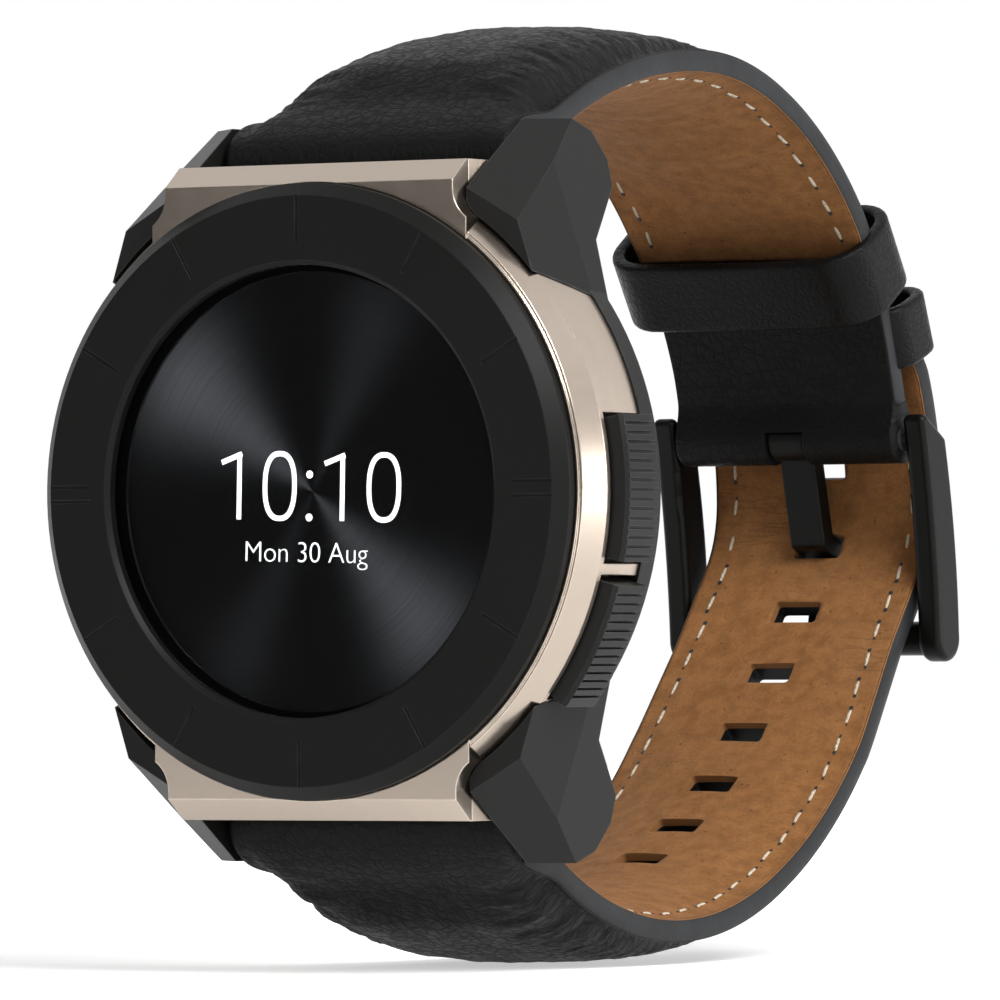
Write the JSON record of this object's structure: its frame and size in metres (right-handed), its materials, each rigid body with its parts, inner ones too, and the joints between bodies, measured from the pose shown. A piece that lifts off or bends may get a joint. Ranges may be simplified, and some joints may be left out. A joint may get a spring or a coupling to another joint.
{
  "type": "smartwatch",
  "caption": "Round smartwatch with a glass display, side pushers, faceted lugs and a padded leather strap buckled in a closed loop.",
  "frame": {"origin": "centre of the case back's outer face, where the watch rests on the wrist", "axes": "+Z towards twelve o'clock, +X towards three o'clock (the pusher side), -Y out of the dial, +Y out of the case back"},
  "size_m": [0.0461, 0.0751, 0.0656],
  "materials": {
    "champagne_metal": "brushed champagne anodised",
    "black_bezel": "matte black",
    "black_metal": "satin black",
    "buckle_metal": "matte black",
    "cover_glass": "polished",
    "display": "gloss black",
    "black_plastic": "matte",
    "sensor_glass": "gloss black",
    "contact_metal": "gold plated",
    "steel": "plain",
    "circuit_board": "solder mask",
    "battery_foil": "foil pouch",
    "rubber": "matte",
    "black_leather": "grained",
    "brown_lining": "nubuck",
    "padding": "foam"
  },
  "bodies": {
    "case": {"bezel_ring": "black_bezel", "cover_glass": "cover_glass", "glass_gasket": "rubber", "display_panel": "display", "case_ring": "champagne_metal", "lug_frame": "black_metal", "case_back": "black_plastic", "case_back_seal": "rubber", "sensor_window": "sensor_glass", "sensor_board": "circuit_board", "charging_contacts": "contact_metal", "case_screws": "steel", "inner_chassis": "black_plastic", "main_board": "circuit_board", "board_chips": "black_plastic", "battery": "battery_foil", "vibration_motor": "steel", "pusher_seal_upper": "rubber", "pusher_seal_lower": "rubber", "click_switch_upper": "black_plastic", "click_switch_lower": "black_plastic", "pusher_spring_upper": "steel", "pusher_spring_lower": "steel", "upper_bar_tube": "steel", "lower_bar_tube": "steel"},
    "upper_pusher": {"pusher_cap_upper": "black_metal", "pusher_stem_upper": "steel", "pusher_clip_upper": "steel"},
    "lower_pusher": {"pusher_cap_lower": "black_metal", "pusher_stem_lower": "steel", "pusher_clip_lower": "steel"},
    "upper_tip_right": {"upper_bar_tip_right": "steel"},
    "upper_tip_left": {"upper_bar_tip_left": "steel"},
    "lower_tip_right": {"lower_bar_tip_right": "steel"},
    "lower_tip_left": {"lower_bar_tip_left": "steel"},
    "long_front": {"long_strap_cover_front": "black_leather", "long_strap_padding": "padding", "long_strap_lining_front": "brown_lining"},
    "band_rear": {"short_strap_cover_rear": "black_leather", "short_strap_lining_rear": "brown_lining", "long_strap_cover_rear": "black_leather", "long_strap_lining_rear": "brown_lining", "sewn_keeper": "black_leather", "buckle_bar_tube": "steel"},
    "short_front": {"short_strap_cover_front": "black_leather", "short_strap_padding": "padding", "short_strap_lining_front": "brown_lining"},
    "buckle_tip_right": {"buckle_bar_tip_right": "steel"},
    "buckle_tip_left": {"buckle_bar_tip_left": "steel"},
    "sliding_loop": {"sliding_keeper": "black_leather"},
    "buckle": {"buckle_frame": "buckle_metal"},
    "tang": {"buckle_tang": "buckle_metal"}
  },
  "joints": [
    {"name": "upper_pusher_press", "type": "slide", "parent": "case", "child": "upper_pusher", "axis": [-1, 0, 0], "range_m": [0, 0.0007], "stiffness_N_per_m": 1500, "springref_m": -0.0005, "deforming": ["pusher_spring_upper"]},
    {"name": "lower_pusher_press", "type": "slide", "parent": "case", "child": "lower_pusher", "axis": [-0.8878, 0, 0.4602], "range_m": [0, 0.0007], "stiffness_N_per_m": 1500, "springref_m": -0.0005, "deforming": ["pusher_spring_lower"]},
    {"name": "lower_strap_sway", "type": "hinge", "parent": "case", "child": "long_front", "pos_m": [0, -0.0022, -0.0228], "axis": [1, 0, 0], "range_deg": [-6, 6], "stiffness_Nm_per_rad": 0.35},
    {"name": "long_strap_flex", "type": "hinge", "parent": "long_front", "child": "band_rear", "pos_m": [0, 0.04425, -0.0219], "axis": [1, 0, 0], "range_deg": [-6, 6]},
    {"name": "short_strap_flex", "type": "hinge", "parent": "band_rear", "child": "short_front", "pos_m": [0, 0.04425, 0.0237], "axis": [1, 0, 0], "range_deg": [-6, 6]},
    {"name": "sliding_loop_shift", "type": "hinge", "parent": "band_rear", "child": "sliding_loop", "pos_m": [0, 0.0249, 0], "axis": [1, 0, 0], "range_deg": [-1.2, 2.5]},
    {"name": "buckle_swing", "type": "hinge", "parent": "band_rear", "child": "buckle", "pos_m": [0, 0.05503, 0.0044], "axis": [1, 0, 0], "range_deg": [-1.5, 1.5], "stiffness_Nm_per_rad": 0.05},
    {"name": "tang_swing", "type": "hinge", "parent": "band_rear", "child": "tang", "pos_m": [0, 0.05503, 0.0044], "axis": [1, 0, 0], "range_deg": [-1.5, 1.5]},
    {"name": "upper_bar_tip_right_retract", "type": "slide", "parent": "case", "child": "upper_tip_right", "axis": [-1, 0, 0], "range_m": [0, 0.0009], "stiffness_N_per_m": 500, "springref_m": -0.001},
    {"name": "lower_bar_tip_right_retract", "type": "slide", "parent": "case", "child": "lower_tip_right", "axis": [-1, 0, 0], "range_m": [0, 0.0009], "stiffness_N_per_m": 500, "springref_m": -0.001},
    {"name": "buckle_bar_tip_right_retract", "type": "slide", "parent": "band_rear", "child": "buckle_tip_right", "axis": [-1, 0, 0], "range_m": [0, 0.0009], "stiffness_N_per_m": 500, "springref_m": -0.001},
    {"name": "upper_bar_tip_left_retract", "type": "slide", "parent": "case", "child": "upper_tip_left", "axis": [1, 0, 0], "range_m": [0, 0.0009], "stiffness_N_per_m": 500, "springref_m": -0.001},
    {"name": "lower_bar_tip_left_retract", "type": "slide", "parent": "case", "child": "lower_tip_left", "axis": [1, 0, 0], "range_m": [0, 0.0009], "stiffness_N_per_m": 500, "springref_m": -0.001},
    {"name": "buckle_bar_tip_left_retract", "type": "slide", "parent": "band_rear", "child": "buckle_tip_left", "axis": [1, 0, 0], "range_m": [0, 0.0009], "stiffness_N_per_m": 500, "springref_m": -0.001}
  ],
  "couplings": [
    {"joint": "long_strap_flex", "follows": "lower_strap_sway", "ratio": -1},
    {"joint": "short_strap_flex", "follows": "lower_strap_sway", "ratio": 1},
    {"joint": "tang_swing", "follows": "buckle_swing", "ratio": 1}
  ]
}
